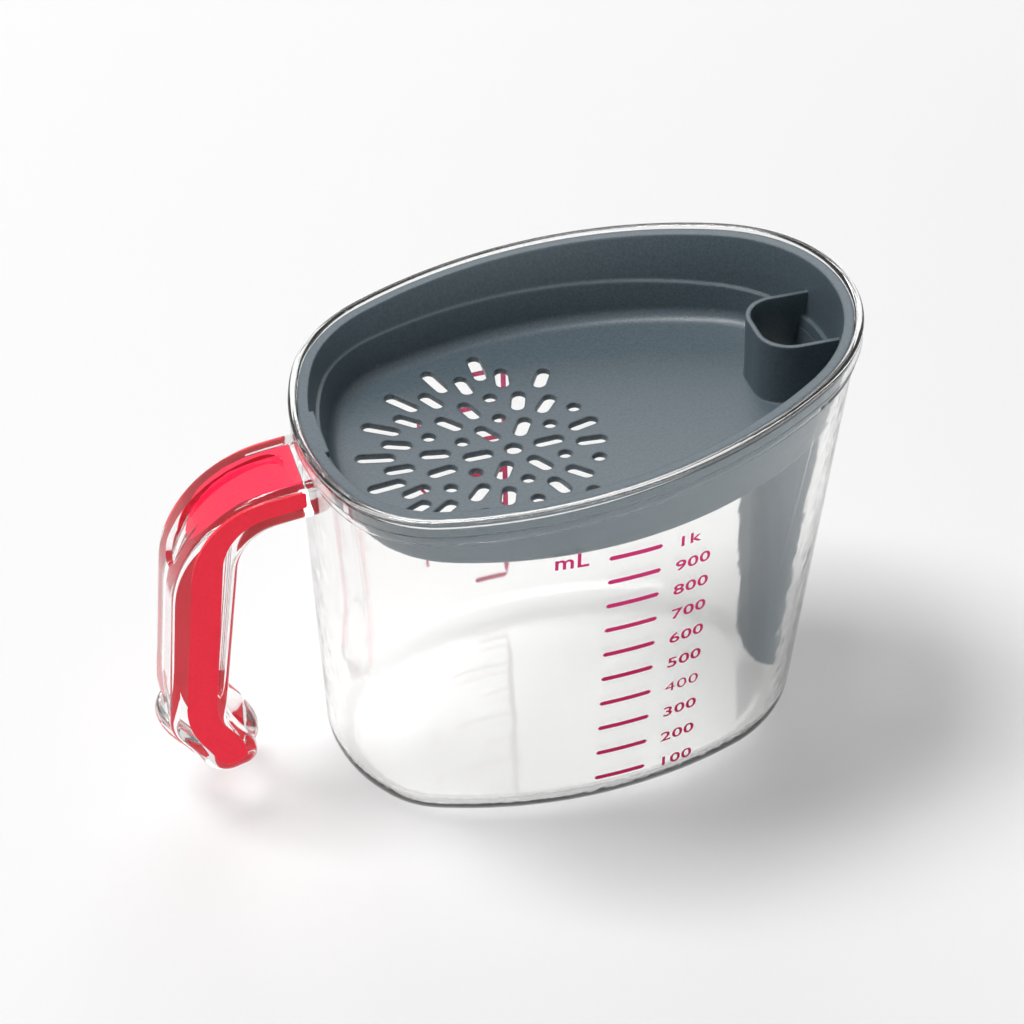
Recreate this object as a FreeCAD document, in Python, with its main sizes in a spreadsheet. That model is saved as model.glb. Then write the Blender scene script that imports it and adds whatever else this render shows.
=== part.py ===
import FreeCAD, Part

import math
import os

import Sketcher

# Gravy fat separator: a clear jug with an open strainer tray hung in its mouth.
# Juices go through the holes in the tray, which hold the solids back. In the jug the
# fat floats up, and tilting draws the gravy from the floor, up the channel that hangs
# from the tray at the spout and out of the small chimney on top of it.
# Frame: millimetres, +X from the handle to the spout, +Z up, the jug stands on Z = 0.

doc = FreeCAD.newDocument("fat_separator")
vec = FreeCAD.Vector

# ---------------------------------------------------------------- driving sizes
sheet = doc.addObject("Spreadsheet::Sheet", "Sizes")
sizes = {}
sheet_rows = [
    ("Plan of the rim: an egg, blunt at the handle and narrower at the spout", None, None),
    ("", "rim_back", 57.5),
    ("", "rim_front", 105.9),
    ("", "rim_half_width", 62.7),
    ("", "rim_widest", 16.0),
    ("", "rim_back_radius", 85.8),
    ("", "rim_corner_radius", 40.5),
    ("", "rim_side_radius", 126.0),
    ("", "rim_nose_radius", 51.4),
    ("Plan of the foot, where the walls would meet the table", None, None),
    ("", "foot_back", 54.2),
    ("", "foot_front", 87.0),
    ("", "foot_half_width", 46.5),
    ("", "foot_widest", 14.7),
    ("", "foot_back_radius", 47.2),
    ("", "foot_corner_radius", 28.0),
    ("", "foot_side_radius", 129.0),
    ("", "foot_nose_radius", 41.5),
    ("Jug: the mouth is a plane that rises to the spout", None, None),
    ("", "rim_tilt", 6.63),
    ("", "lip_top", 125.8),
    ("", "lip_depth", 5.0),
    ("", "lip_overhang", 0.9),
    ("", "lip_round", 0.9),
    ("", "band_depth", 8.3),
    ("", "band_step", 0.8),
    ("", "wall", 2.0),
    ("", "floor_thickness", 3.4),
    ("", "foot_round", 12.0),
    ("", "floor_round", 9.0),
    ("", "seat_inset", 2.4),
    ("Strainer tray: flange in the seat, wall, ledge, dished floor", None, None),
    ("", "flange_play", 0.3),
    ("", "flange_drop", 0.8),
    ("", "flange_thickness", 2.0),
    ("", "tray_play", 0.4),
    ("", "tray_wall", 1.4),
    ("", "tray_draft", 2.2),
    ("", "ledge_level", 115.2),
    ("", "ledge_tilt", 2.6),
    ("", "ledge_width", 1.2),
    ("", "pan_taper", 3.4),
    ("", "pan_level", 96.0),
    ("", "dish_radius", 550.0),
    ("", "dish_low_x", -8.7),
    ("", "dish_low_z", 100.6),
    ("", "floor_plate", 1.8),
    ("", "pan_round", 4.0),
    ("", "tab_width", 19.8),
    ("", "tab_reach", 2.0),
    ("", "tab_depth", 4.0),
    ("Pouring channel: a U wall from the chimney down to the jug's floor", None, None),
    ("", "channel_back", 75.6),
    ("", "channel_half_width", 13.4),
    ("", "channel_corner", 10.0),
    ("", "channel_wall", 1.4),
    ("", "channel_front", 120.0),
    ("", "channel_foot", 10.4),
    ("", "channel_gap", 1.2),
    ("", "chimney_top", 127.2),
    ("", "mouth_top", 116.0),
    ("Holes: rings of slots and round holes about one centre", None, None),
    ("", "holes_x", 5.0),
    ("", "slot_width", 4.0),
    ("", "slot_length", 8.8),
    ("", "long_slot_length", 11.4),
    ("", "first_ring", 10.4),
    ("", "second_ring", 22.3),
    ("", "third_ring", 33.3),
    ("", "fourth_ring", 39.2),
    ("", "pair_angle", 10.7),
    ("", "centre_hole", 5.2),
    ("", "small_hole", 4.0),
    ("", "inner_hole_ring", 15.05),
    ("", "outer_hole_ring", 24.96),
    ("Handle: width across, edges and its two grip inlays", None, None),
    ("", "handle_width", 26.0),
    ("", "handle_edge_round", 2.5),
    ("", "knob_x", -90.4),
    ("", "knob_z", 24.8),
    ("", "knob_long", 16.4),
    ("", "knob_short", 9.4),
    ("", "knob_across", 12.4),
    ("", "knob_tilt", 33.0),
    ("", "inlay_depth", 1.2),
    ("", "thumb_width", 11.0),
    ("", "thumb_end_round", 5.4),
]
row = 1
for title, alias, value in sheet_rows:
    if alias is None:
        sheet.set("A%d" % row, title)
    else:
        sheet.set("A%d" % row, alias)
        sheet.set("B%d" % row, str(value))
        sheet.setAlias("B%d" % row, alias)
        sizes[alias] = value
    row += 1

# Corners of the side outlines, in order round the shape: name, X, Z and rounding radius.
handle_corners = [
    ("root_top", -48.0, 112.9, 0.0),
    ("knuckle", -94.2, 107.2, 38.0),
    ("heel", -102.9, 31.0, 13.0),
    ("sole", -90.0, 11.7, 7.5),
    ("toe", -77.0, 15.6, 5.0),
    ("toe_top", -78.5, 21.5, 6.0),
    ("toe_notch", -86.1, 33.1, 7.0),
    ("inner_knuckle", -76.4, 97.4, 14.0),
    ("root_bottom", -48.0, 100.2, 0.0),
]
inlay_corners = [
    ("start_top", -57.5, 109.2, 0.8),
    ("bend", -89.0, 105.6, 26.0),
    ("back_low", -98.0, 33.0, 22.0),
    ("tip_low", -88.3, 15.6, 4.0),
    ("tip", -80.6, 18.2, 2.6),
    ("tip_top", -82.6, 24.6, 2.6),
    ("inner_low", -89.2, 34.0, 14.0),
    ("inner_bend", -80.9, 101.0, 16.0),
    ("start_bottom", -57.5, 104.0, 0.8),
]
core_corners = [
    ("root", -40.0, 112.1, 0.0),
    ("knuckle", -92.6, 105.8, 36.4),
    ("back", -103.6, 10.0, 0.0),
    ("front", -50.0, 10.0, 0.0),
]
groove_corners = [
    ("low_back", -112.0, 84.0, 0.0),
    ("low_front", -61.0, 84.0, 0.0),
    ("high_front", -61.0, 118.0, 0.0),
    ("high_back", -112.0, 118.0, 0.0),
]
for family, corners in (
    ("handle", handle_corners), ("inlay", inlay_corners),
    ("core", core_corners), ("groove", groove_corners),
):
    for name, x, z, radius in corners:
        for part_of, value in (("x", x), ("z", z), ("round", radius)):
            alias = "%s_%s_%s" % (family, name, part_of)
            sheet.set("A%d" % row, alias)
            sheet.set("B%d" % row, str(value))
            sheet.setAlias("B%d" % row, alias)
            sizes[alias] = value
            row += 1
doc.recompute()


def origin_plane(body, role):
    """The body's own origin plane with this role, such as XY_Plane."""
    return next(f for f in body.Origin.OriginFeatures if f.Role == role)


def new_sketch(body, name, role="XY_Plane"):
    sketch = body.newObject("Sketcher::SketchObject", name)
    sketch.AttachmentSupport = [(origin_plane(body, role), "")]
    sketch.MapMode = "FlatFace"
    return sketch


# ---------------------------------------------------------------- egg outlines
def circles_meet(a, ra, b, rb):
    """Meeting point of two circles on the handle side."""
    gap = b - a
    along = (ra * ra - rb * rb + gap.Length ** 2) / (2 * gap.Length)
    rise = math.sqrt(ra * ra - along * along)
    direction = gap * (1 / gap.Length)
    across = vec(-direction.y, direction.x, 0)
    one = a + direction * along + across * rise
    two = a + direction * along - across * rise
    return one if one.x < two.x else two


def egg_arcs(egg, inset):
    """Upper half of an egg from the nose to the back: (centre, radius, start, end)."""
    front = sizes[egg + "_front"] - inset
    back = -sizes[egg + "_back"] + inset
    half = sizes[egg + "_half_width"] - inset
    widest = sizes[egg + "_widest"]
    nose_r = sizes[egg + "_nose_radius"] - inset
    side_r = sizes[egg + "_side_radius"] - inset
    corner_r = sizes[egg + "_corner_radius"] - inset
    back_r = sizes[egg + "_back_radius"] - inset
    nose = vec(front - nose_r, 0, 0)
    reach = nose.x - widest
    shoulder_r = (reach ** 2 + half ** 2 - nose_r ** 2) / (2 * (half - nose_r))
    shoulder = vec(widest, half - shoulder_r, 0)
    side = vec(widest, half - side_r, 0)
    end = vec(back + back_r, 0, 0)
    corner = circles_meet(end, back_r - corner_r, side, side_r - corner_r)
    to_nose = math.atan2(nose.y - shoulder.y, nose.x - shoulder.x)
    to_corner = math.atan2(corner.y - side.y, corner.x - side.x)
    to_end = math.atan2(corner.y - end.y, corner.x - end.x)
    return [
        (nose, nose_r, 0.0, to_nose),
        (shoulder, shoulder_r, to_nose, math.pi / 2),
        (side, side_r, math.pi / 2, to_corner),
        (corner, corner_r, to_corner, to_end),
        (end, back_r, to_end, math.pi),
    ]


def arc_of(centre, radius, start, end):
    return Part.ArcOfCircle(Part.Circle(centre, vec(0, 0, 1), radius), start, end)


def egg_sketch(name, egg, inset, height, tilt=None, body=None):
    """Closed egg outline, inset by an expression, on a level or tilted plane."""
    if body:
        sketch = new_sketch(body, name)
        place = "AttachmentOffset"
    else:
        sketch = doc.addObject("Sketcher::SketchObject", name)
        place = "Placement"
    turn = FreeCAD.Rotation(vec(0, -1, 0), sizes[tilt] if tilt else 0.0)
    setattr(sketch, place, FreeCAD.Placement(vec(0, 0, 0), turn))
    sketch.setExpression(".%s.Base.z" % place, height)
    if tilt:
        sketch.setExpression(".%s.Rotation.Angle" % place, "Sizes." + tilt)
    inset_now = eval_inset(inset)
    upper = egg_arcs(egg, inset_now)
    nose = upper[0]
    end = upper[4]
    sketch.addGeometry(arc_of(nose[0], nose[1], -nose[3], nose[3]))
    for centre, radius, start, stop in upper[1:4]:
        sketch.addGeometry(arc_of(centre, radius, start, stop))
    sketch.addGeometry(arc_of(end[0], end[1], end[2], 2 * math.pi - end[2]))
    for centre, radius, start, stop in reversed(upper[1:4]):
        mirrored = vec(centre.x, -centre.y, 0)
        sketch.addGeometry(arc_of(mirrored, radius, -stop, -start))
    for index in range(8):
        sketch.addConstraint(Sketcher.Constraint("Tangent", index, 2, (index + 1) % 8, 1))
    add = sketch.addConstraint
    add(Sketcher.Constraint("PointOnObject", 0, 3, -1))
    add(Sketcher.Constraint("PointOnObject", 4, 3, -1))
    add(Sketcher.Constraint("Symmetric", 2, 1, 6, 2, -1))
    add(Sketcher.Constraint("Vertical", 1, 3, 2, 1))
    add(Sketcher.Constraint("Vertical", 7, 3, 6, 2))
    add(Sketcher.Constraint("Equal", 2, 6))
    add(Sketcher.Constraint("Equal", 3, 5))
    datum(sketch, "nose", Sketcher.Constraint("Radius", 0, nose[1]),
          "Sizes.%s_nose_radius - (%s)" % (egg, inset))
    datum(sketch, "back", Sketcher.Constraint("Radius", 4, end[1]),
          "Sizes.%s_back_radius - (%s)" % (egg, inset))
    datum(sketch, "side", Sketcher.Constraint("Radius", 2, upper[2][1]),
          "Sizes.%s_side_radius - (%s)" % (egg, inset))
    datum(sketch, "corner", Sketcher.Constraint("Radius", 3, upper[3][1]),
          "Sizes.%s_corner_radius - (%s)" % (egg, inset))
    datum(sketch, "nose_at", Sketcher.Constraint("DistanceX", -1, 1, 0, 3, nose[0].x),
          "Sizes.%s_front - Sizes.%s_nose_radius" % (egg, egg))
    datum(sketch, "back_at", Sketcher.Constraint("DistanceX", -1, 1, 4, 3, end[0].x),
          "Sizes.%s_back_radius - Sizes.%s_back" % (egg, egg))
    datum(sketch, "widest_at", Sketcher.Constraint("DistanceX", -1, 1, 2, 1, upper[2][0].x),
          "Sizes.%s_widest" % egg)
    half = upper[2][0].y + upper[2][1]
    datum(sketch, "half_width", Sketcher.Constraint("DistanceY", -1, 1, 2, 1, half),
          "Sizes.%s_half_width - (%s)" % (egg, inset))
    return sketch


def eval_inset(expression):
    """Value of an inset such as 'Sizes.wall + Sizes.band_step', for the first drawing."""
    total = 0.0
    sign = 1
    for word in expression.replace("-", " - ").replace("+", " + ").split():
        if word in "+-":
            sign = 1 if word == "+" else -1
        elif word.startswith("Sizes."):
            total += sign * sizes[word[6:]]
        else:
            total += sign * float(word)
    return total


def datum(sketch, name, constraint, expression):
    """Adds a named dimension and binds it to the sheet."""
    index = sketch.addConstraint(constraint)
    sketch.renameConstraint(index, name)
    sketch.setExpression("Constraints." + name, expression)


# ---------------------------------------------------------------- form helpers
SAMPLES = 5


def ruled_form(name, low, high):
    """Closed solid of straight walls between two egg outlines of eight arcs each."""
    doc.recompute()
    low_edges = [arc.toShape() for arc in low.Geometry]
    high_edges = [arc.toShape() for arc in high.Geometry]
    for edge in low_edges:
        edge.Placement = low.Placement
    for edge in high_edges:
        edge.Placement = high.Placement
    walls = [Part.makeRuledSurface(a, b) for a, b in zip(low_edges, high_edges)]
    ends = [Part.Face(Part.Wire(low_edges)), Part.Face(Part.Wire(high_edges))]
    shell = Part.makeShell(walls + ends)
    shell.sewShape()
    solid = Part.makeSolid(shell)
    if solid.Volume < 0:
        solid.reverse()
    form = doc.addObject("Part::Feature", name)
    form.Shape = solid
    return form


def combine(name, kind, base, tool):
    feature = doc.addObject("Part::" + kind, name)
    feature.Base = base
    feature.Tool = tool
    return feature


def upright(body, name, sketch, length):
    """Pad of a tilted outline with upright sides."""
    feature = body.newObject("PartDesign::Pad", name)
    feature.Profile = sketch
    feature.UseCustomVector = True
    feature.AlongSketchNormal = False
    feature.Direction = vec(0, 0, 1)
    feature.setExpression("Length", length)
    return feature


def edges_where(shape, test):
    """Names of the edges whose every sampled point passes the test."""
    names = []
    for number, edge in enumerate(shape.Edges, 1):
        if all(test(point) for point in edge.discretize(SAMPLES)):
            names.append("Edge%d" % number)
    return names


def round_edges(body, name, base, test, radius):
    doc.recompute()
    feature = body.newObject("PartDesign::Fillet", name)
    feature.Base = (base, edges_where(base.Shape, test))
    feature.setExpression("Radius", radius)
    return feature


def new_body(name):
    body = doc.addObject("PartDesign::Body", name)
    body.Label = name
    return body


# ---------------------------------------------------------------- jug body
NEAR = 0.05
STEP = "Sizes.lip_top - Sizes.band_depth"
NECK = "Sizes.lip_overhang + Sizes.band_step"
THROAT = NECK + " + Sizes.wall"
FLANGE_TOP = "Sizes.lip_top - Sizes.flange_drop"
FLANGE_BOTTOM = FLANGE_TOP + " - Sizes.flange_thickness"
SEAT = FLANGE_BOTTOM + " - Sizes.flange_play"


def tilt_of(alias):
    return math.tan(math.radians(sizes[alias]))


def near_plane(level, alias=None):
    """Test for points on a level or tilted plane given by its height over the origin."""
    slope = tilt_of(alias) if alias else 0.0
    return lambda point: abs(point.z - level - slope * point.x) < NEAR


def make_jug():
    outside = ruled_form(
        "jug_walls",
        egg_sketch("foot_outline", "foot", "0", "0"),
        egg_sketch("neck_outline", "rim", NECK, STEP, "rim_tilt"),
    )
    outer = new_body("jug_outside")
    outer.BaseFeature = outside
    doc.recompute()
    round_edges(outer, "foot_edge", outer.Tip, near_plane(0.0), "Sizes.foot_round")
    band = egg_sketch("band_outline", "rim", "Sizes.lip_overhang", STEP, "rim_tilt", outer)
    upright(outer, "rim_band", band, "Sizes.band_depth")
    under_lip = "Sizes.lip_top - Sizes.lip_depth"
    lip = egg_sketch("lip_outline", "rim", "0", under_lip, "rim_tilt", outer)
    upright(outer, "lip", lip, "Sizes.lip_depth")
    cavity = ruled_form(
        "jug_cavity",
        egg_sketch("floor_outline", "foot", "Sizes.wall", "Sizes.floor_thickness"),
        egg_sketch("throat_outline", "rim", THROAT, STEP, "rim_tilt"),
    )
    inner = new_body("jug_inside")
    inner.BaseFeature = cavity
    doc.recompute()
    floor = near_plane(sizes["floor_thickness"])
    round_edges(inner, "floor_edge", inner.Tip, floor, "Sizes.floor_round")
    throat = egg_sketch("throat_top", "rim", THROAT, STEP, "rim_tilt", inner)
    upright(inner, "throat", throat, "Sizes.band_depth")
    seat = egg_sketch("seat_outline", "rim", "Sizes.seat_inset", SEAT, "rim_tilt", inner)
    upright(inner, "flange_seat", seat, "Sizes.lip_depth + Sizes.flange_thickness")
    hollow = combine("jug_hollow", "Cut", outer, inner)
    doc.recompute()
    jug = new_body("jug_body")
    jug.BaseFeature = hollow
    doc.recompute()
    rim = near_plane(sizes["lip_top"], "rim_tilt")
    round_edges(jug, "lip_edge", jug.Tip, rim, "Sizes.lip_round")
    return jug


# ---------------------------------------------------------------- strainer insert
def dish(name, radius, x, z):
    """Ball whose lowest point is the dish's; its poles lie along Y, clear of the dish."""
    ball = doc.addObject("Part::Sphere", name)
    ball.Placement = FreeCAD.Placement(vec(0, 0, 0), FreeCAD.Rotation(vec(1, 0, 0), 90))
    ball.setExpression("Radius", radius)
    ball.setExpression(".Placement.Base.x", x)
    ball.setExpression(".Placement.Base.z", z)
    return ball


def rounded_pan(name, form, ball, alias):
    """Part of a tapered form above the dished floor, with its bottom edge rounded."""
    pan = combine(name + "_form", "Common", form, ball)
    doc.recompute()
    body = new_body(name)
    body.BaseFeature = pan
    doc.recompute()
    centre = ball.Placement.Base
    radius = ball.Radius.Value

    def on_ball(point):
        return abs(point.distanceToPoint(centre) - radius) < NEAR

    round_edges(body, name + "_edge", body.Tip, on_ball, alias)
    return body


def u_sketch(body, name, inset):
    """U in plan with rounded corners, closed by a straight line beyond the spout."""
    sketch = new_sketch(body, name)
    inset_now = eval_inset(inset)
    half = sizes["channel_half_width"] - inset_now
    back = sizes["channel_back"] + inset_now
    corner = sizes["channel_corner"] - inset_now
    turn = vec(back + corner, half - corner, 0)
    low = vec(turn.x, -turn.y, 0)
    front = sizes["channel_front"]
    line = Part.LineSegment
    sketch.addGeometry(line(vec(front, half, 0), vec(turn.x, half, 0)))
    sketch.addGeometry(arc_of(turn, corner, math.pi / 2, math.pi))
    sketch.addGeometry(line(vec(back, turn.y, 0), vec(back, low.y, 0)))
    sketch.addGeometry(arc_of(low, corner, math.pi, 1.5 * math.pi))
    sketch.addGeometry(line(vec(turn.x, -half, 0), vec(front, -half, 0)))
    sketch.addGeometry(line(vec(front, -half, 0), vec(front, half, 0)))
    for first, first_end, second, second_end in (
        (0, 2, 1, 1), (1, 2, 2, 1), (2, 2, 3, 1), (3, 2, 4, 1),
    ):
        sketch.addConstraint(
            Sketcher.Constraint("Tangent", first, first_end, second, second_end))
    sketch.addConstraint(Sketcher.Constraint("Coincident", 4, 2, 5, 1))
    sketch.addConstraint(Sketcher.Constraint("Coincident", 5, 2, 0, 1))
    sketch.addConstraint(Sketcher.Constraint("Horizontal", 0))
    sketch.addConstraint(Sketcher.Constraint("Equal", 1, 3))
    sketch.addConstraint(Sketcher.Constraint("Symmetric", 5, 1, 5, 2, -1))
    sketch.addConstraint(Sketcher.Constraint("Symmetric", 2, 1, 2, 2, -1))
    datum(sketch, "corner", Sketcher.Constraint("Radius", 1, corner),
          "Sizes.channel_corner - %s" % inset)
    datum(sketch, "back", Sketcher.Constraint("DistanceX", -1, 1, 2, 1, back),
          "Sizes.channel_back + %s" % inset)
    datum(sketch, "half", Sketcher.Constraint("DistanceY", -1, 1, 0, 1, half),
          "Sizes.channel_half_width - %s" % inset)
    datum(sketch, "front", Sketcher.Constraint("DistanceX", -1, 1, 5, 1, front),
          "Sizes.channel_front")
    return sketch


def level_pad(body, name, sketch, bottom, top):
    sketch.setExpression(".AttachmentOffset.Base.z", bottom)
    pad = body.newObject("PartDesign::Pad", name)
    pad.Profile = sketch
    pad.setExpression("Length", "(%s) - (%s)" % (top, bottom))
    return pad


def make_tray():
    """Flanged pan without its holes: outside form minus inside form."""
    tray_inset = THROAT + " + Sizes.tray_play"
    drafted = tray_inset + " + Sizes.tray_draft"
    under_ledge = "Sizes.ledge_level - Sizes.tray_wall"
    ledge_inset = drafted + " + Sizes.tray_wall + Sizes.ledge_width"
    neck = egg_sketch("tray_neck", "rim", tray_inset, FLANGE_BOTTOM, "rim_tilt")
    waist = egg_sketch("tray_waist", "rim", drafted, under_ledge, "ledge_tilt")
    outside = ruled_form("tray_upper_outside", neck, waist)
    pan_bottom = egg_sketch(
        "pan_bottom_outside", "rim",
        ledge_inset + " + Sizes.pan_taper - Sizes.tray_wall", "Sizes.pan_level")
    ball = dish("dish_underside", "Sizes.dish_radius + Sizes.floor_plate",
                "Sizes.dish_low_x", "Sizes.dish_low_z + Sizes.dish_radius")
    doc.recompute()
    pan = rounded_pan("pan_outside", ruled_form("pan_outside_walls", waist, pan_bottom),
                      ball, "Sizes.pan_round + Sizes.tray_wall")
    flange = new_body("flange")
    flange_line = egg_sketch("flange_outline", "rim", "Sizes.seat_inset + Sizes.flange_play",
                             FLANGE_BOTTOM, "rim_tilt", flange)
    upright(flange, "flange_plate", flange_line, "Sizes.flange_thickness")
    solid = doc.addObject("Part::MultiFuse", "tray_outside")
    solid.Shapes = [flange, outside, pan]

    mouth = egg_sketch("tray_mouth", "rim", tray_inset + " + Sizes.tray_wall",
                       "Sizes.lip_top", "rim_tilt")
    above_ledge = egg_sketch("above_ledge", "rim", drafted + " + Sizes.tray_wall",
                             "Sizes.ledge_level", "ledge_tilt")
    ledge_line = egg_sketch("ledge_line", "rim", ledge_inset, "Sizes.ledge_level", "ledge_tilt")
    floor_line = egg_sketch("pan_bottom_inside", "rim", ledge_inset + " + Sizes.pan_taper",
                            "Sizes.pan_level")
    upper = ruled_form("tray_upper_inside", mouth, above_ledge)
    ball = dish("dish_face", "Sizes.dish_radius", "Sizes.dish_low_x",
                "Sizes.dish_low_z + Sizes.dish_radius")
    doc.recompute()
    lower = rounded_pan("pan_inside", ruled_form("pan_inside_walls", ledge_line, floor_line),
                        ball, "Sizes.pan_round")
    hollow = doc.addObject("Part::MultiFuse", "tray_inside")
    hollow.Shapes = [upper, lower]
    return combine("tray", "Cut", solid, hollow)


def make_channel():
    """U wall that follows the inside of the spout wall down to the jug's floor."""
    space = ruled_form(
        "channel_space",
        egg_sketch("channel_space_foot", "foot", "Sizes.wall + Sizes.channel_gap", "0"),
        egg_sketch("channel_space_top", "rim", THROAT + " + Sizes.channel_gap",
                   FLANGE_TOP, "rim_tilt"),
    )
    block = new_body("channel_block")
    outline = u_sketch(block, "channel_outline", "0")
    level_pad(block, "channel_pad", outline, "Sizes.channel_foot", "Sizes.chimney_top")
    bore = new_body("channel_bore")
    inner = u_sketch(bore, "bore_outline", "Sizes.channel_wall")
    level_pad(bore, "bore_pad", inner, "0", "Sizes.chimney_top + Sizes.lip_depth")
    fitted = combine("channel_fitted", "Common", block, space)
    return combine("channel", "Cut", fitted, bore)


def slot(sketch, radius, angle, length, width):
    """Radial slot with round ends; its three sizes are bound to the sheet."""
    turn = FreeCAD.Rotation(vec(0, 0, 1), angle)
    half = sizes[width] / 2
    near = turn.multVec(vec(sizes[radius] - sizes[length] / 2 + half, 0, 0))
    far = turn.multVec(vec(sizes[radius] + sizes[length] / 2 - half, 0, 0))
    side = turn.multVec(vec(0, half, 0))
    facing = math.radians(angle)
    first = sketch.addGeometry(Part.LineSegment(near + side * -1, far + side * -1))
    sketch.addGeometry(arc_of(far, half, facing - math.pi / 2, facing + math.pi / 2))
    sketch.addGeometry(Part.LineSegment(far + side, near + side))
    sketch.addGeometry(arc_of(near, half, facing + math.pi / 2, facing + 3 * math.pi / 2))
    axis = sketch.addGeometry(Part.LineSegment(vec(0, 0, 0), far), True)
    add = sketch.addConstraint
    for step in range(4):
        add(Sketcher.Constraint("Tangent", first + step, 2, first + (step + 1) % 4, 1))
    add(Sketcher.Constraint("Equal", first + 1, first + 3))
    add(Sketcher.Constraint("Coincident", axis, 1, -1, 1))
    add(Sketcher.Constraint("Coincident", axis, 2, first + 1, 3))
    add(Sketcher.Constraint("PointOnObject", first + 3, 3, axis))
    add(Sketcher.Constraint("Angle", -1, 1, axis, 1, facing))
    tag = "s%d_" % first
    datum(sketch, tag + "half_width", Sketcher.Constraint("Radius", first + 1, half),
          "Sizes.%s / 2" % width)
    datum(sketch, tag + "reach", Sketcher.Constraint("Distance", axis, far.Length),
          "Sizes.%s + (Sizes.%s - Sizes.%s) / 2" % (radius, length, width))
    datum(sketch, tag + "run", Sketcher.Constraint("Distance", first, (far - near).Length),
          "Sizes.%s - Sizes.%s" % (length, width))


def round_hole(sketch, diameter, ring, angle):
    distance = sizes[ring] if ring else 0.0
    place = FreeCAD.Rotation(vec(0, 0, 1), angle).multVec(vec(distance, 0, 0))
    circle = sketch.addGeometry(Part.Circle(place, vec(0, 0, 1), sizes[diameter] / 2))
    tag = "c%d_" % circle
    datum(sketch, tag + "across", Sketcher.Constraint("Diameter", circle, sizes[diameter]),
          "Sizes.%s" % diameter)
    if not ring:
        sketch.addConstraint(Sketcher.Constraint("Coincident", circle, 3, -1, 1))
        return
    axis = sketch.addGeometry(Part.LineSegment(vec(0, 0, 0), place), True)
    sketch.addConstraint(Sketcher.Constraint("Coincident", axis, 1, -1, 1))
    sketch.addConstraint(Sketcher.Constraint("Coincident", axis, 2, circle, 3))
    sketch.addConstraint(
        Sketcher.Constraint("Angle", -1, 1, axis, 1, math.radians(angle)))
    datum(sketch, tag + "ring", Sketcher.Constraint("Distance", axis, distance),
          "Sizes.%s" % ring)


def cut_holes(body, name, draw, count=1, sweep=360.0):
    """Pocket of one drawn group of holes, repeated about the pattern's centre."""
    sketch = new_sketch(body, name + "_lines")
    sketch.setExpression(".AttachmentOffset.Base.x", "Sizes.holes_x")
    sketch.setExpression(".AttachmentOffset.Base.z", "Sizes.ledge_level - Sizes.tray_wall")
    draw(sketch)
    pocket = body.newObject("PartDesign::Pocket", name)
    pocket.Profile = sketch
    pocket.setExpression("Length", "Sizes.ledge_level - Sizes.pan_level")
    doc.recompute()
    if count == 1:
        return
    pattern = body.newObject("PartDesign::PolarPattern", name + "_ring")
    pattern.Originals = [pocket]
    pattern.Axis = (sketch, ["N_Axis"])
    pattern.Angle = sweep
    pattern.Occurrences = count
    body.Tip = pattern
    doc.recompute()


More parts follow.
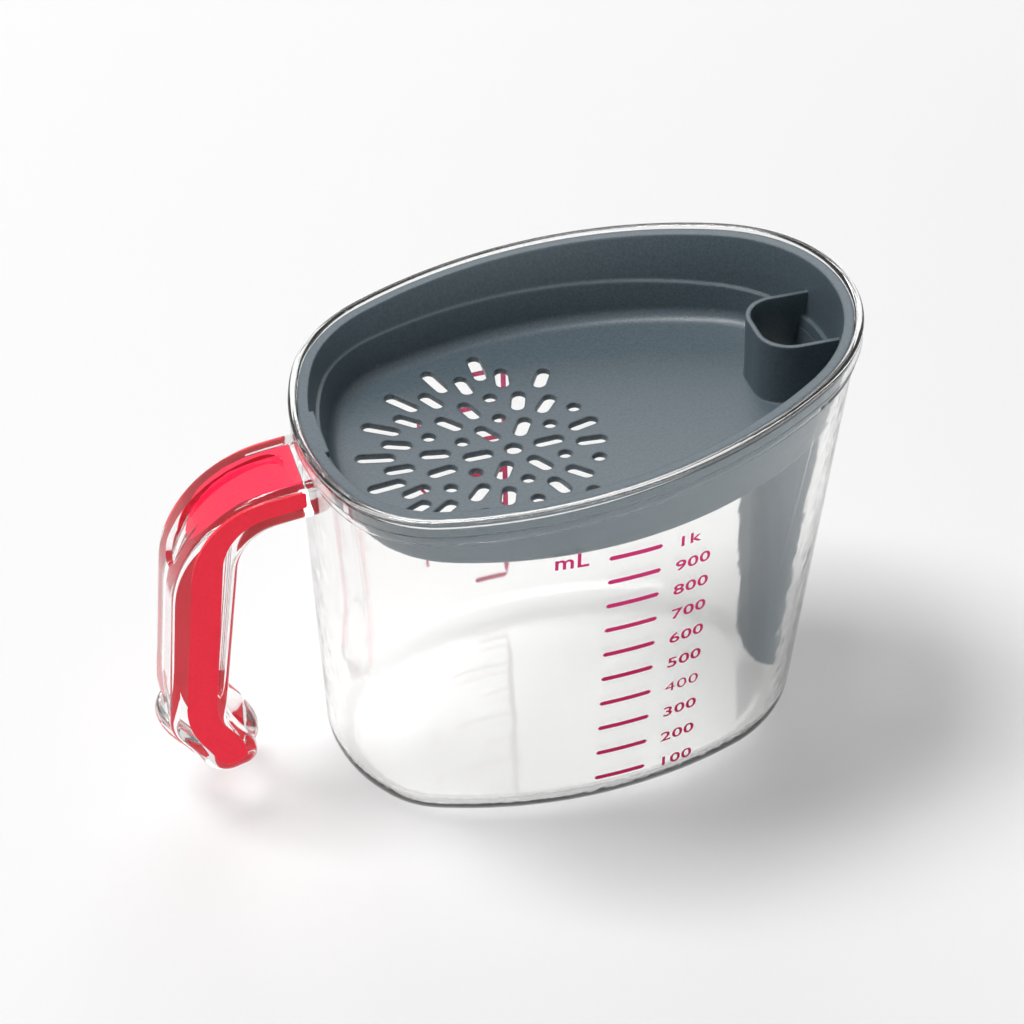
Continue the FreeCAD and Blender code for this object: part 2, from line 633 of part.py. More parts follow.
def make_insert():
    joined = doc.addObject("Part::MultiFuse", "tray_with_channel")
    joined.Shapes = [make_tray(), make_channel()]
    gate = new_body("channel_gate")
    outline = u_sketch(gate, "gate_outline", "Sizes.channel_wall")
    level_pad(gate, "gate_pad", outline, "Sizes.pan_level - Sizes.tray_wall", "Sizes.mouth_top")
    opened = combine("tray_opened", "Cut", joined, gate)
    doc.recompute()
    body = new_body("strainer_insert")
    body.BaseFeature = opened
    doc.recompute()

    tab = new_sketch(body, "tab_outline")
    tab.AttachmentOffset = FreeCAD.Placement(
        vec(0, 0, 0), FreeCAD.Rotation(vec(0, -1, 0), sizes["rim_tilt"]))
    tab.setExpression(".AttachmentOffset.Base.z", FLANGE_BOTTOM)
    tab.setExpression(".AttachmentOffset.Rotation.Angle", "Sizes.rim_tilt")
    inner_edge = eval_inset(THROAT) + sizes["tray_play"] + sizes["tray_wall"]
    reach = -sizes["rim_back"] + inner_edge + sizes["tab_reach"]
    half = sizes["tab_width"] / 2
    depth = sizes["tab_depth"]
    ring = [vec(reach - depth, -half, 0), vec(reach, -half, 0), vec(reach, half, 0),
            vec(reach - depth, half, 0)]
    for index in range(4):
        tab.addGeometry(Part.LineSegment(ring[index], ring[(index + 1) % 4]))
    for index in range(4):
        tab.addConstraint(Sketcher.Constraint("Coincident", index, 2, (index + 1) % 4, 1))
    tab.addConstraint(Sketcher.Constraint("Horizontal", 0))
    tab.addConstraint(Sketcher.Constraint("Horizontal", 2))
    tab.addConstraint(Sketcher.Constraint("Vertical", 3))
    tab.addConstraint(Sketcher.Constraint("Symmetric", 1, 1, 1, 2, -1))
    datum(tab, "depth", Sketcher.Constraint("DistanceX", 0, 1, 0, 2, depth),
          "Sizes.tab_depth")
    datum(tab, "width", Sketcher.Constraint("DistanceY", 1, 1, 1, 2, 2 * half),
          "Sizes.tab_width")
    datum(tab, "reach", Sketcher.Constraint("DistanceX", -1, 1, 1, 1, reach),
          "%s + Sizes.tray_play + Sizes.tray_wall + Sizes.tab_reach - Sizes.rim_back" % THROAT)
    upright(body, "lift_tab", tab, "Sizes.flange_thickness")
    doc.recompute()

    def middle(sketch):
        round_hole(sketch, "centre_hole", None, 0)

    def inner_group(sketch):
        slot(sketch, "first_ring", 0, "slot_length", "slot_width")
        round_hole(sketch, "small_hole", "inner_hole_ring", 30)
        round_hole(sketch, "small_hole", "outer_hole_ring", 30)
        for side in (-1, 1):
            slot(sketch, "second_ring", side * sizes["pair_angle"], "slot_length", "slot_width")

    def third_slot(sketch):
        slot(sketch, "third_ring", 60, "slot_length", "slot_width")

    def fourth_slot(sketch):
        slot(sketch, "fourth_ring", 90, "long_slot_length", "slot_width")

    cut_holes(body, "middle_hole", middle)
    cut_holes(body, "inner_holes", inner_group, 6)
    cut_holes(body, "third_slots", third_slot, 13, 240.0)
    cut_holes(body, "fourth_slots", fourth_slot, 10, 180.0)
    return body


# ---------------------------------------------------------------- handle and grip inlays
def side_profile(body, name, family, corners):
    """Closed outline of straight sides through the named corners, seen from the side."""
    sketch = new_sketch(body, name, "XZ_Plane")
    points = [vec(x, z, 0) for _, x, z, _ in corners]
    count = len(points)
    for index in range(count):
        sketch.addGeometry(Part.LineSegment(points[index], points[(index + 1) % count]))
    for index in range(count):
        sketch.addConstraint(
            Sketcher.Constraint("Coincident", index, 2, (index + 1) % count, 1))
    for index, (corner, x, z, _) in enumerate(corners):
        alias = "Sizes.%s_%s" % (family, corner)
        datum(sketch, corner + "_x", Sketcher.Constraint("DistanceX", -1, 1, index, 1, x),
              alias + "_x")
        datum(sketch, corner + "_z", Sketcher.Constraint("DistanceY", -1, 1, index, 1, z),
              alias + "_z")
    return sketch


def round_corners(body, family, corners):
    """Rounds the edges across the width at each corner of a side outline."""
    for corner, x, z, radius in corners:
        if not radius:
            continue
        doc.recompute()

        def at_corner(point):
            return abs(point.x - x) < NEAR and abs(point.z - z) < NEAR

        name = "%s_%s_edge" % (family, corner)
        round_edges(body, name, body.Tip, at_corner, "Sizes.%s_%s_round" % (family, corner))
    doc.recompute()


def make_inlay(name, side):
    """Grip inlay that fills the pocket in one side face; side is -1 or 1."""
    body = new_body(name)
    profile = side_profile(body, name + "_outline", "inlay", inlay_corners)
    pad = body.newObject("PartDesign::Pad", name + "_pad")
    pad.Profile = profile
    pad.setExpression("Length", "Sizes.inlay_depth")
    if side < 0:
        profile.setExpression(".AttachmentOffset.Base.z",
                              "Sizes.handle_width / 2 - Sizes.inlay_depth")
    else:
        profile.setExpression(".AttachmentOffset.Base.z", "-Sizes.handle_width / 2")
    round_corners(body, "inlay", inlay_corners)
    return body


def across(body, family, corners, width):
    """Side outline padded across the width, both ways from the middle."""
    pad = body.newObject("PartDesign::Pad", family + "_pad")
    pad.Profile = side_profile(body, family + "_outline", family, corners)
    pad.Midplane = True
    pad.setExpression("Length", width)
    round_corners(body, family, corners)


def make_handle(jug_outside, inlays):
    body = new_body("handle_blank")
    across(body, "handle", handle_corners, "Sizes.handle_width")
    half = sizes["handle_width"] / 2
    root = sizes["handle_root_top_x"]
    blank = body.Tip
    names = []
    for number, edge in enumerate(blank.Shape.Edges, 1):
        points = edge.discretize(SAMPLES)
        on_side = all(abs(abs(point.y) - half) < NEAR for point in points)
        if on_side and any(point.x < root - NEAR for point in points):
            names.append("Edge%d" % number)
    rounding = body.newObject("PartDesign::Fillet", "handle_side_edges")
    rounding.Base = (blank, names)
    rounding.setExpression("Radius", "Sizes.handle_edge_round")
    doc.recompute()

    core = new_body("groove_core")
    across(core, "core", core_corners, "Sizes.handle_width")
    block = new_body("groove_block")
    across(block, "groove", groove_corners, "Sizes.thumb_width")
    side = sizes["thumb_width"] / 2
    low = sizes["groove_low_front_z"]
    front = sizes["groove_low_front_x"]

    def at_end(point):
        beside = abs(abs(point.y) - side) < NEAR
        return beside and (abs(point.z - low) < NEAR or abs(point.x - front) < NEAR)

    round_edges(block, "groove_ends", block.Tip, at_end, "Sizes.thumb_end_round")
    thumb = combine("thumb_groove", "Cut", block, core)

    knob = doc.addObject("Part::Ellipsoid", "handle_knob")
    lean = FreeCAD.Rotation(0, sizes["knob_tilt"], 90)
    knob.Placement = FreeCAD.Placement(vec(0, 0, 0), lean)
    knob.setExpression(".Placement.Base.x", "Sizes.knob_x")
    knob.setExpression(".Placement.Base.z", "Sizes.knob_z")
    knob.setExpression("Radius1", "Sizes.knob_across")
    knob.setExpression("Radius2", "Sizes.knob_long")
    knob.setExpression("Radius3", "Sizes.knob_short")

    tools = doc.addObject("Part::MultiFuse", "handle_cuts")
    tools.Shapes = inlays + [thumb]
    grip = combine("handle_with_knob", "Fuse", body, knob)
    shaped = combine("handle_shaped", "Cut", grip, tools)
    return combine("handle", "Cut", shaped, jug_outside)


# ---------------------------------------------------------------- build, check, write
jug = make_jug()
insert = make_insert()
left_inlay = make_inlay("grip_inlay_left", 1)
right_inlay = make_inlay("grip_inlay_right", -1)
handle = make_handle(doc.getObject("jug_outside"), [left_inlay, right_inlay])
doc.recompute()

failed = [obj.Name for obj in doc.Objects if {"Invalid", "Error"} & set(obj.State)]
if failed:
    raise RuntimeError("failed features: " + ", ".join(failed))

os.makedirs("parts", exist_ok=True)
for piece in (jug, handle, left_inlay, right_inlay, insert):
    shape = piece.Shape
    if shape.isNull() or not shape.isValid() or len(shape.Solids) != 1:
        raise RuntimeError(piece.Label + " is not one valid solid")
    box = shape.BoundBox
    print("%-18s volume %9.0f  X %.1f..%.1f  Y %.1f..%.1f  Z %.1f..%.1f" % (
        piece.Label, shape.Volume, box.XMin, box.XMax, box.YMin, box.YMax, box.ZMin, box.ZMax))
    shape.exportStep("parts/%s.step" % piece.Label)
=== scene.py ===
import math

import bmesh
import bpy
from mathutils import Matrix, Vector
from mathutils.bvhtree import BVHTree


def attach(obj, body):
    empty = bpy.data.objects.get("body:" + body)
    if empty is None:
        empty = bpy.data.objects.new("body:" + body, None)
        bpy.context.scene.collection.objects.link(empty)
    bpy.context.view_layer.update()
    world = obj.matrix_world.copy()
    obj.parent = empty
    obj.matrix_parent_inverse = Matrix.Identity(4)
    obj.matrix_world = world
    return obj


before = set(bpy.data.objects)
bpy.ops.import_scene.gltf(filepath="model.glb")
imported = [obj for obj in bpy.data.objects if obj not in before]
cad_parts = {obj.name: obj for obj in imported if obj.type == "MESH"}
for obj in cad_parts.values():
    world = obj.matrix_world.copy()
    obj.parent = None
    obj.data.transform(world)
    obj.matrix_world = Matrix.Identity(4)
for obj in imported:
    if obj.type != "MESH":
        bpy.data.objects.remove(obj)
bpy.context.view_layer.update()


# ---------------------------------------------------------------- camera
# Long lens over the near side of the jug, looking down on the tray, with the
# handle to the left and the spout to the right.
LENS = 98.0
CAMERA_AT = (-0.15793, -0.61272, 0.57131)
CAMERA_TURN = (52.099, 1.434, -15.913)

lens = bpy.data.cameras.new("camera")
lens.lens = LENS
camera = bpy.data.objects.new("camera", lens)
bpy.context.scene.collection.objects.link(camera)
camera.location = CAMERA_AT
camera.rotation_euler = [math.radians(angle) for angle in CAMERA_TURN]
bpy.context.scene.camera = camera


# ---------------------------------------------------------------- clear jug and handle
# One clear, glossy, injection-moulded plastic for the jug and for the handle that joins
# its band. Its walls are very slightly wavy, as moulded walls are, and they let most of
# the lamps' light through, the thick handle less than the thin jug.
CLEAR_TINT = (0.99, 0.99, 0.985, 1.0)
CLEAR_IOR = 1.49
WAVE_SCALE = 14.0
WAVE_HEIGHT = 0.000001
POLISH_BEST = 0.01
POLISH_WORST = 0.09
JUG_PASS = (0.81, 0.81, 0.81, 1.0)
HANDLE_PASS = (0.62, 0.6, 0.6, 1.0)


def clear_plastic(name, light_pass):
    """Clear plastic that lets light_pass of a lamp's light through at each surface."""
    material = bpy.data.materials.new(name)
    material.use_nodes = True
    nodes = material.node_tree.nodes
    links = material.node_tree.links
    shader = nodes["Principled BSDF"]
    shader.inputs["Base Color"].default_value = CLEAR_TINT
    shader.inputs["Transmission Weight"].default_value = 1.0
    shader.inputs["IOR"].default_value = CLEAR_IOR
    place = nodes.new("ShaderNodeTexCoord")
    waves = nodes.new("ShaderNodeTexNoise")
    waves.inputs["Scale"].default_value = WAVE_SCALE
    links.new(place.outputs["Object"], waves.inputs["Vector"])
    gloss = nodes.new("ShaderNodeMapRange")
    gloss.inputs["To Min"].default_value = POLISH_BEST
    gloss.inputs["To Max"].default_value = POLISH_WORST
    links.new(waves.outputs["Fac"], gloss.inputs["Value"])
    links.new(gloss.outputs["Result"], shader.inputs["Roughness"])
    bump = nodes.new("ShaderNodeBump")
    bump.inputs["Distance"].default_value = WAVE_HEIGHT
    links.new(waves.outputs["Fac"], bump.inputs["Height"])
    links.new(bump.outputs["Normal"], shader.inputs["Normal"])
    path = nodes.new("ShaderNodeLightPath")
    passing = nodes.new("ShaderNodeBsdfTransparent")
    passing.inputs["Color"].default_value = light_pass
    either = nodes.new("ShaderNodeMixShader")
    links.new(path.outputs["Is Shadow Ray"], either.inputs[0])
    links.new(shader.outputs[0], either.inputs[1])
    links.new(passing.outputs[0], either.inputs[2])
    links.new(either.outputs[0], nodes["Material Output"].inputs["Surface"])
    return material


def dress(node, material):
    """Gives a piece of the frame its material."""
    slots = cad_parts[node].data.materials
    slots.clear()
    slots.append(material)


dress("jug_body", clear_plastic("clear_jug", JUG_PASS))
dress("handle", clear_plastic("clear_handle", HANDLE_PASS))


# ---------------------------------------------------------------- grip inlays
# Soft red rubber moulded into a shallow pocket on each side face of the handle. It
# sticks to the pocket all over, so its red shows through the clear plastic. A thin web
# of the same rubber joins both grips inside the arm, under the thumb groove.
GRIP_RED = (0.93, 0.035, 0.065, 1.0)
GRIP_DARK = (0.8, 0.025, 0.05, 1.0)
GRIP_GLOSS = 0.12
GRIP_GRAIN = 900.0
GRIP_GRAIN_DETAIL = 3.0
GRIP_GRAIN_HEIGHT = 0.00006
GRIP_ROUGHNESS = (0.5, 0.7)
BOND_REACH = 0.00005
WEB_RED = (0.93, 0.012, 0.075, 1.0)
WEB_DARK = (0.8, 0.008, 0.055, 1.0)
WEB_THICK = 0.0008
WEB_HALF = 0.0089
WEB_STEPS = 4
# Each spot of the web along the arm: X, Z and the share of its full width.
WEB_LINE = [
    (-0.0576, 0.1086, 1.0), (-0.0640, 0.1079, 1.0), (-0.0700, 0.1070, 1.0),
    (-0.0755, 0.1055, 1.0), (-0.0800, 0.1027, 1.0), (-0.0838, 0.0993, 0.96),
    (-0.0866, 0.0950, 0.75), (-0.0882, 0.0910, 0.35),
]


def soft_grip(name, dark, bright):
    """Fine-grained matt rubber between two reds."""
    material = bpy.data.materials.new(name)
    material.use_nodes = True
    nodes = material.node_tree.nodes
    links = material.node_tree.links
    shader = nodes["Principled BSDF"]
    shader.inputs["Specular IOR Level"].default_value = GRIP_GLOSS
    place = nodes.new("ShaderNodeTexCoord")
    grain = nodes.new("ShaderNodeTexNoise")
    grain.inputs["Scale"].default_value = GRIP_GRAIN
    grain.inputs["Detail"].default_value = GRIP_GRAIN_DETAIL
    links.new(place.outputs["Object"], grain.inputs["Vector"])
    colour = nodes.new("ShaderNodeMix")
    colour.data_type = "RGBA"
    colour.inputs["A"].default_value = dark
    colour.inputs["B"].default_value = bright
    links.new(grain.outputs["Fac"], colour.inputs["Factor"])
    links.new(colour.outputs["Result"], shader.inputs["Base Color"])
    rough = nodes.new("ShaderNodeMapRange")
    rough.inputs["To Min"].default_value = GRIP_ROUGHNESS[0]
    rough.inputs["To Max"].default_value = GRIP_ROUGHNESS[1]
    links.new(grain.outputs["Fac"], rough.inputs["Value"])
    links.new(rough.outputs["Result"], shader.inputs["Roughness"])
    bump = nodes.new("ShaderNodeBump")
    bump.inputs["Distance"].default_value = GRIP_GRAIN_HEIGHT
    links.new(grain.outputs["Fac"], bump.inputs["Height"])
    links.new(bump.outputs["Normal"], shader.inputs["Normal"])
    return material


def open_bond():
    """Where the rubber sticks to the plastic there is no gap, so light just passes."""
    material = bpy.data.materials.new("open_bond")
    material.use_nodes = True
    nodes = material.node_tree.nodes
    nodes.remove(nodes["Principled BSDF"])
    passing = nodes.new("ShaderNodeBsdfTransparent")
    material.node_tree.links.new(
        passing.outputs[0], nodes["Material Output"].inputs["Surface"])
    return material


def bond(holder, inlay):
    """Opens the holder's faces that the inlay sticks to."""
    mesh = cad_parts[holder].data
    graph = bpy.context.evaluated_depsgraph_get()
    skin = BVHTree.FromObject(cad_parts[inlay], graph)
    for face in mesh.polygons:
        spots = [mesh.vertices[corner].co for corner in face.vertices] + [face.center]
        if all(skin.find_nearest(spot, BOND_REACH)[0] for spot in spots):
            face.material_index = 1


def plate(name, upper, lower):
    """Thin curved plate between two grids of points, each a list of equal rows."""
    shape = bmesh.new()
    tops = [[shape.verts.new(point) for point in row] for row in upper]
    backs = [[shape.verts.new(point) for point in row] for row in lower]
    for grid in (tops, backs):
        for one, two in zip(grid, grid[1:]):
            for step in range(len(one) - 1):
                shape.faces.new((one[step], one[step + 1], two[step + 1], two[step]))
    rims = [(tops[0], backs[0]), (tops[-1], backs[-1]),
            ([row[0] for row in tops], [row[0] for row in backs]),
            ([row[-1] for row in tops], [row[-1] for row in backs])]
    for one, two in rims:
        for step in range(len(one) - 1):
            shape.faces.new((one[step], one[step + 1], two[step + 1], two[step]))
    bmesh.ops.recalc_face_normals(shape, faces=shape.faces)
    mesh = bpy.data.meshes.new(name)
    shape.to_mesh(mesh)
    shape.free()
    piece = bpy.data.objects.new(name, mesh)
    bpy.context.scene.collection.objects.link(piece)
    return piece


rubber = soft_grip("soft_grip", GRIP_DARK, GRIP_RED)
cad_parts["handle"].data.materials.append(open_bond())
for inlay in ("grip_inlay_left", "grip_inlay_right"):
    dress(inlay, rubber)
    bond("handle", inlay)

web_top = []
web_back = []
for x, z, share in WEB_LINE:
    spread = [WEB_HALF * share * step / WEB_STEPS for step in range(-WEB_STEPS, WEB_STEPS + 1)]
    web_top.append([(x, y, z) for y in spread])
    web_back.append([(x + WEB_THICK / 2, y, z - WEB_THICK) for y in spread])
web = plate("grip_web", web_top, web_back)
web.data.materials.append(soft_grip("grip_web", WEB_DARK, WEB_RED))
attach(web, "jug")


# ---------------------------------------------------------------- strainer insert
# Dark blue-grey polypropylene, one moulding with a fine matt texture and softly
# rounded edges on its holes, ledge and chimney.
TRAY_GREY = (0.052, 0.076, 0.093, 1.0)
TRAY_FLECK = (0.124, 0.165, 0.19, 1.0)
TRAY_GRAIN = 1300.0
TRAY_GRAIN_DETAIL = 4.0
TRAY_GRAIN_HEIGHT = 0.00008
TRAY_ROUGHNESS = (0.32, 0.45)
EDGE_SOFTNESS = 0.001
APRON_TOP = 0.1163
APRON_DROP = 0.0115
APRON_FRONT = 0.0964
APRON_DRAFT = 0.14
APRON_ROUND = 0.0417
APRON_HALF = 0.01195
APRON_THICK = 0.0012
APRON_ROWS = 4
APRON_STEPS = 6


def tray_plastic():
    """Speckled satin grey whose sharp edges catch the light as rounded ones do."""
    material = bpy.data.materials.new("tray_plastic")
    material.use_nodes = True
    nodes = material.node_tree.nodes
    links = material.node_tree.links
    shader = nodes["Principled BSDF"]
    place = nodes.new("ShaderNodeTexCoord")
    grain = nodes.new("ShaderNodeTexNoise")
    grain.inputs["Scale"].default_value = TRAY_GRAIN
    grain.inputs["Detail"].default_value = TRAY_GRAIN_DETAIL
    links.new(place.outputs["Object"], grain.inputs["Vector"])
    colour = nodes.new("ShaderNodeMix")
    colour.data_type = "RGBA"
    colour.inputs["A"].default_value = TRAY_GREY
    colour.inputs["B"].default_value = TRAY_FLECK
    links.new(grain.outputs["Fac"], colour.inputs["Factor"])
    links.new(colour.outputs["Result"], shader.inputs["Base Color"])
    rough = nodes.new("ShaderNodeMapRange")
    rough.inputs["To Min"].default_value = TRAY_ROUGHNESS[0]
    rough.inputs["To Max"].default_value = TRAY_ROUGHNESS[1]
    links.new(grain.outputs["Fac"], rough.inputs["Value"])
    links.new(rough.outputs["Result"], shader.inputs["Roughness"])
    soft_edge = nodes.new("ShaderNodeBevel")
    soft_edge.inputs["Radius"].default_value = EDGE_SOFTNESS
    bump = nodes.new("ShaderNodeBump")
    bump.inputs["Distance"].default_value = TRAY_GRAIN_HEIGHT
    links.new(grain.outputs["Fac"], bump.inputs["Height"])
    links.new(soft_edge.outputs["Normal"], bump.inputs["Normal"])
    links.new(bump.outputs["Normal"], shader.inputs["Normal"])
    return material


tray_grey = tray_plastic()
dress("strainer_insert", tray_grey)

# The wall in front of the chimney reaches down behind the spout and hides the light
# that would come through the clear jug there.
inner = []
outer = []
spread = [APRON_HALF * side / APRON_STEPS for side in range(-APRON_STEPS, APRON_STEPS + 1)]
for step in range(APRON_ROWS + 1):
    down = APRON_DROP * step / APRON_ROWS
    bow = [APRON_ROUND - math.sqrt(APRON_ROUND ** 2 - y * y) for y in spread]
    face = APRON_FRONT - APRON_DRAFT * down
    inner.append([(face - b, y, APRON_TOP - down) for y, b in zip(spread, bow)])
    outer.append([(x + APRON_THICK, y, z) for x, y, z in inner[-1]])
apron = plate("spout_apron", inner, outer)
apron.data.materials.append(tray_grey)
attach(apron, "strainer")


# ---------------------------------------------------------------- measuring marks
# Pink scales printed on the outside of the jug. The near side has ten level lines in
# steps of 100 mL with their numbers, the far side cups: an upright line with a short
# tick for each half cup and a long one with its number for each cup.
INK_LOW = (0.42, 0.001, 0.06, 1.0)
INK_HIGH = (0.6, 0.02, 0.16, 1.0)
INK_ROUGHNESS = 0.35
INK_GLOSS = 0.15
INK_SPECKLE = 1500.0
INK_THIN = 0.25
INK_TURNS = (0.055, 0.1)
INK_LIFT = 0.00008
OUTSIDE = 0.2
SAME_SPOT = 0.000001
LEVELS = 10
FIRST_LEVEL = 0.0030
STEP = 0.01116
STEP_LOSS = 0.00011
LEAN = 0.015
LINE_LEFT = 0.0131
LINE_LENGTH = 0.0156
LINE_THICK = 0.0016
LINE_PARTS = 24
LINE_TIP = 0.00001
NUMBER_LEFT = 0.0330
NUMBER_DROP = 0.0010
NUMBER_HIGH = 0.0031
NUMBER_WIDE = 1.3
CAPITAL_SHARE = 0.585
LETTER_GAP = 1.08
LETTER_WEIGHT = 0.03
UNIT_LEFT = -0.0004
UNIT_LEVEL = 0.1047
UNIT_HIGH = 0.0043
HALF_CUPS = 8
HALF_CUP = 1.183
CUP_LINE = 0.0135
CUP_TICKS = (0.0205, 0.0105)
CUP_NUMBER_GAP = 0.0045
CUP_UNIT_GAP = 0.0095
CUP_LEAN = 0.045

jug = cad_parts["jug_body"]
jug_tree = BVHTree.FromObject(jug, bpy.context.evaluated_depsgraph_get())


def printing_ink():
    """Ink that turns lighter towards the rim."""
    material = bpy.data.materials.new("printing_ink")
    material.use_nodes = True
    nodes = material.node_tree.nodes
    links = material.node_tree.links
    shader = nodes["Principled BSDF"]
    shader.inputs["Roughness"].default_value = INK_ROUGHNESS
    shader.inputs["Specular IOR Level"].default_value = INK_GLOSS
    place = nodes.new("ShaderNodeTexCoord")
    height = nodes.new("ShaderNodeSeparateXYZ")
    links.new(place.outputs["Object"], height.inputs["Vector"])
    cover = nodes.new("ShaderNodeTexNoise")
    cover.inputs["Scale"].default_value = INK_SPECKLE
    links.new(place.outputs["Object"], cover.inputs["Vector"])
    fade = nodes.new("ShaderNodeMapRange")
    fade.inputs["From Min"].default_value = INK_TURNS[0]
    fade.inputs["From Max"].default_value = INK_TURNS[1]
    links.new(height.outputs["Z"], fade.inputs["Value"])
    ink_lightness = nodes.new("ShaderNodeMath")
    ink_lightness.operation = "MULTIPLY_ADD"
    ink_lightness.inputs[1].default_value = INK_THIN
    links.new(cover.outputs["Fac"], ink_lightness.inputs[0])
    links.new(fade.outputs["Result"], ink_lightness.inputs[2])
    colour = nodes.new("ShaderNodeMix")
    colour.data_type = "RGBA"
    colour.inputs["A"].default_value = INK_LOW
    colour.inputs["B"].default_value = INK_HIGH
    links.new(ink_lightness.outputs[0], colour.inputs["Factor"])
    links.new(colour.outputs["Result"], shader.inputs["Base Color"])
    return material


def level_at(hundreds):
    """Height for so many hundred millilitres: the jug widens, so the steps get smaller."""
    return FIRST_LEVEL + STEP * hundreds - STEP_LOSS * hundreds ** 2


def on_wall(x, z, side):
    """Point of the jug's outer wall straight behind a flat print at x and z."""
    start = Vector((x, side * OUTSIDE, z))
    hit, normal, _, _ = jug_tree.ray_cast(start, Vector((0, -side, 0)))
    return hit + normal * INK_LIFT


def bar_mesh(start, end):
    """Flat bar with round ends between two points (x, z), as a strip of narrow quads."""
    shape = bmesh.new()
    half = LINE_THICK / 2
    run = Vector((end[0] - start[0], 0, end[1] - start[1]))
    across = Vector((-run.z, 0, run.x)).normalized()
    rows = []
    for step in range(LINE_PARTS + 1):
        along = run.length * step / LINE_PARTS
        inset = min(along, run.length - along, half)
        rise = math.sqrt(max(half * half - (half - inset) ** 2, LINE_TIP ** 2))
        middle = Vector((start[0], 0, start[1])) + run * (step / LINE_PARTS)
        rows.append([shape.verts.new(middle + across * rise * way) for way in (-1, 1)])
    for one, two in zip(rows, rows[1:]):
        shape.faces.new((one[0], two[0], two[1], one[1]))
    mesh = bpy.data.meshes.new("bar")
    shape.to_mesh(mesh)
    shape.free()
    return mesh


def word_mesh(word, left, middle, height, wide):
    """Flat letters in the XZ plane; wide is below 0 where they are read from behind."""
    text = bpy.data.curves.new("word", "FONT")
    text.body = word
    text.size = height / CAPITAL_SHARE
    text.space_character = LETTER_GAP
    # A heavier 4 would fold over at the corner of its eye and fill it.
    text.offset = 0 if "4" in word else height * LETTER_WEIGHT
    letters = bpy.data.objects.new("word", text)
    bpy.context.scene.collection.objects.link(letters)
    graph = bpy.context.evaluated_depsgraph_get()
    mesh = bpy.data.meshes.new_from_object(letters.evaluated_get(graph))
    bpy.data.objects.remove(letters)
    for vertex in mesh.vertices:
        x, y = vertex.co.x, vertex.co.y
        vertex.co = (left + x * wide, 0, middle - height / 2 + y)
    return mesh


def add_print(name, meshes, side):
    """Lays flat meshes on one side of the jug, -1 near and 1 far, as one piece."""
    shape = bmesh.new()
    for mesh in meshes:
        for vertex in mesh.vertices:
            vertex.co = on_wall(vertex.co.x, vertex.co.z, side)
        shape.from_mesh(mesh)
        bpy.data.meshes.remove(mesh)
    bmesh.ops.remove_doubles(shape, verts=shape.verts, dist=SAME_SPOT)
    joined = bpy.data.meshes.new(name)
    shape.to_mesh(joined)
    shape.free()
    joined.materials.append(ink)
    piece = bpy.data.objects.new(name, joined)
    bpy.context.scene.collection.objects.link(piece)
    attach(piece, "jug")


ink = printing_ink()
lines = []
numbers = []
for step in range(1, LEVELS + 1):
    level = level_at(step)
    left = LINE_LEFT + LEAN * level
    lines.append(bar_mesh((left, level), (left + LINE_LENGTH, level)))
    word = "1k" if step == LEVELS else str(step * 100)
    numbers.append(word_mesh(
        word, NUMBER_LEFT + LEAN * level, level - NUMBER_DROP, NUMBER_HIGH, NUMBER_WIDE))
numbers.append(word_mesh("mL", UNIT_LEFT, UNIT_LEVEL, UNIT_HIGH, 1))
add_print("scale_lines", lines, -1)
add_print("scale_numbers", numbers, -1)

ticks = []
cup_numbers = []
for step in range(1, HALF_CUPS + 1):
    level = level_at(HALF_CUP * step)
    left = CUP_LINE + CUP_LEAN * level
    tick = CUP_TICKS[step % 2]
    ticks.append(bar_mesh((left, level), (left - tick, level)))
    if step % 2 == 0:
        cup_numbers.append(
            word_mesh(str(step // 2), left - tick - CUP_NUMBER_GAP, level, UNIT_HIGH, -1))
# The upright line runs from the lowest tick to the highest.
lowest = level_at(HALF_CUP)
ticks.append(bar_mesh((CUP_LINE + CUP_LEAN * lowest, lowest), (left, level)))
cup_numbers.append(
    word_mesh("cups", left - tick - CUP_UNIT_GAP, level, NUMBER_HIGH, -NUMBER_WIDE))
add_print("cup_ticks", ticks, 1)
add_print("cup_numbers", cup_numbers, 1)


# ---------------------------------------------------------------- table and light
# White table top under a broad soft window high on the left, with a low fill from the
# front and a weak light from behind that gives the tray its sheen. The table lies a
# hair under the foot, so the clear plastic and the white top stay two surfaces.
TABLE_SIDE = 6.0
TABLE_DROP = 0.0003
TABLE_CHALK = (0.8, 0.8, 0.8, 1.0)
TABLE_GLOW = 0.115
WHITE_FROM = 0.3
WHITE_TO = 1.0
ROOM_LIGHT = 0.26
LIT_SPOT = (0.02, 0.0, 0.06)
# Each lamp's place, width, height and power in watts.
WINDOW = ((-0.72, 0.33, 2.1), 0.8, 0.8, 36.5)
FRONT_FILL = ((0.05, -1.6, 0.24), 1.6, 0.4, 11.0)
BACK_SHEEN = ((0.32, 1.15, 0.95), 0.8, 0.8, 4.0)

floor_mesh = bpy.data.meshes.new("table_top")
corners = [(-TABLE_SIDE, -TABLE_SIDE), (TABLE_SIDE, -TABLE_SIDE),
           (TABLE_SIDE, TABLE_SIDE), (-TABLE_SIDE, TABLE_SIDE)]
floor_mesh.from_pydata([(x, y, -TABLE_DROP) for x, y in corners], [], [(0, 1, 2, 3)])
floor = bpy.data.objects.new("table_top", floor_mesh)
bpy.context.scene.collection.objects.link(floor)


def seen_as_background(tree):
    """1 where the eye meets the surface straight, in a reflection or through plastic."""
    path = tree.nodes.new("ShaderNodeLightPath")
    result = path.outputs["Is Camera Ray"]
    for kind in ("Is Glossy Ray", "Is Transmission Ray"):
        either = tree.nodes.new("ShaderNodeMath")
        either.operation = "MAXIMUM"
        tree.links.new(result, either.inputs[0])
        tree.links.new(path.outputs[kind], either.inputs[1])
        result = either.outputs[0]
    return result


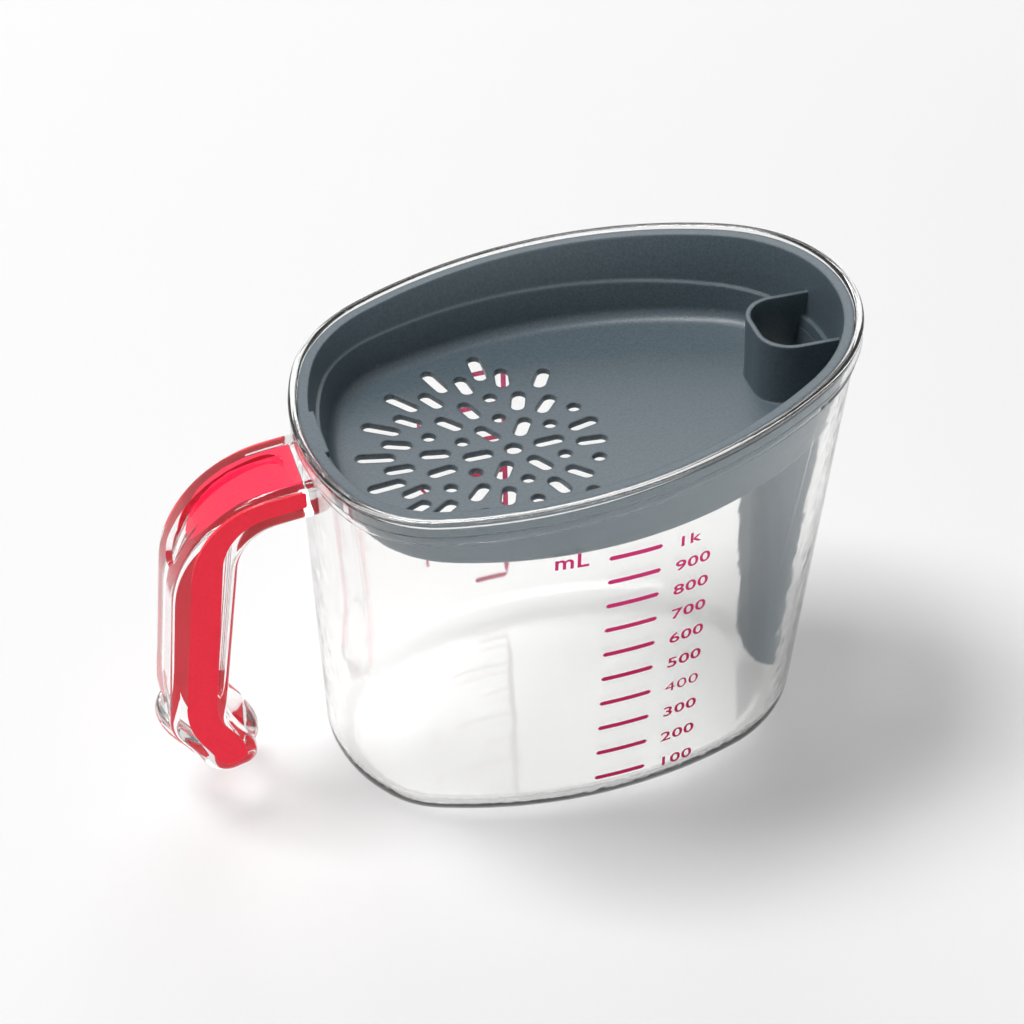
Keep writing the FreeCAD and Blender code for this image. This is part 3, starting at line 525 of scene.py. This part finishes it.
table_white = bpy.data.materials.new("table_white")
table_white.use_nodes = True
nodes = table_white.node_tree.nodes
links = table_white.node_tree.links
nodes.clear()
chalk = nodes.new("ShaderNodeBsdfDiffuse")
chalk.inputs["Color"].default_value = TABLE_CHALK
bright = nodes.new("ShaderNodeEmission")
bright.inputs["Strength"].default_value = TABLE_GLOW
seen = nodes.new("ShaderNodeAddShader")
links.new(chalk.outputs[0], seen.inputs[0])
links.new(bright.outputs[0], seen.inputs[1])
top = nodes.new("ShaderNodeMixShader")
links.new(seen_as_background(table_white.node_tree), top.inputs[0])
links.new(chalk.outputs[0], top.inputs[1])
# Away from the jug the table goes over into plain white, as a sweep of paper does.
spot = nodes.new("ShaderNodeTexCoord")
reach = nodes.new("ShaderNodeVectorMath")
reach.operation = "LENGTH"
links.new(spot.outputs["Object"], reach.inputs[0])
away = nodes.new("ShaderNodeMapRange")
away.interpolation_type = "SMOOTHSTEP"
away.inputs["From Min"].default_value = WHITE_FROM
away.inputs["From Max"].default_value = WHITE_TO
links.new(reach.outputs["Value"], away.inputs["Value"])
paper = nodes.new("ShaderNodeEmission")
sweep = nodes.new("ShaderNodeMixShader")
links.new(away.outputs["Result"], sweep.inputs[0])
links.new(seen.outputs[0], sweep.inputs[1])
links.new(paper.outputs[0], sweep.inputs[2])
links.new(sweep.outputs[0], top.inputs[2])
surface = nodes.new("ShaderNodeOutputMaterial")
links.new(top.outputs[0], surface.inputs["Surface"])
floor_mesh.materials.append(table_white)

world = bpy.data.worlds.new("studio")
bpy.context.scene.world = world
world.use_nodes = True
nodes = world.node_tree.nodes
links = world.node_tree.links
nodes.clear()
soft = nodes.new("ShaderNodeBackground")
soft.inputs["Strength"].default_value = ROOM_LIGHT
white = nodes.new("ShaderNodeBackground")
white.inputs["Strength"].default_value = 1.0
pick = nodes.new("ShaderNodeMixShader")
links.new(seen_as_background(world.node_tree), pick.inputs[0])
links.new(soft.outputs[0], pick.inputs[1])
links.new(white.outputs[0], pick.inputs[2])
sky = nodes.new("ShaderNodeOutputWorld")
links.new(pick.outputs[0], sky.inputs["Surface"])


def soft_box(name, place, width, height, power):
    """Flat oblong or square lamp that faces the jug."""
    light = bpy.data.lights.new(name, "AREA")
    light.shape = "RECTANGLE"
    light.size = width
    light.size_y = height
    light.energy = power
    lamp = bpy.data.objects.new(name, light)
    bpy.context.scene.collection.objects.link(lamp)
    lamp.location = place
    aim = Vector(LIT_SPOT) - lamp.location
    lamp.rotation_euler = aim.to_track_quat("-Z", "Y").to_euler()


soft_box("window", *WINDOW)
soft_box("front_fill", *FRONT_FILL)
soft_box("back_sheen", *BACK_SHEEN)

bpy.context.scene.view_settings.view_transform = "Standard"
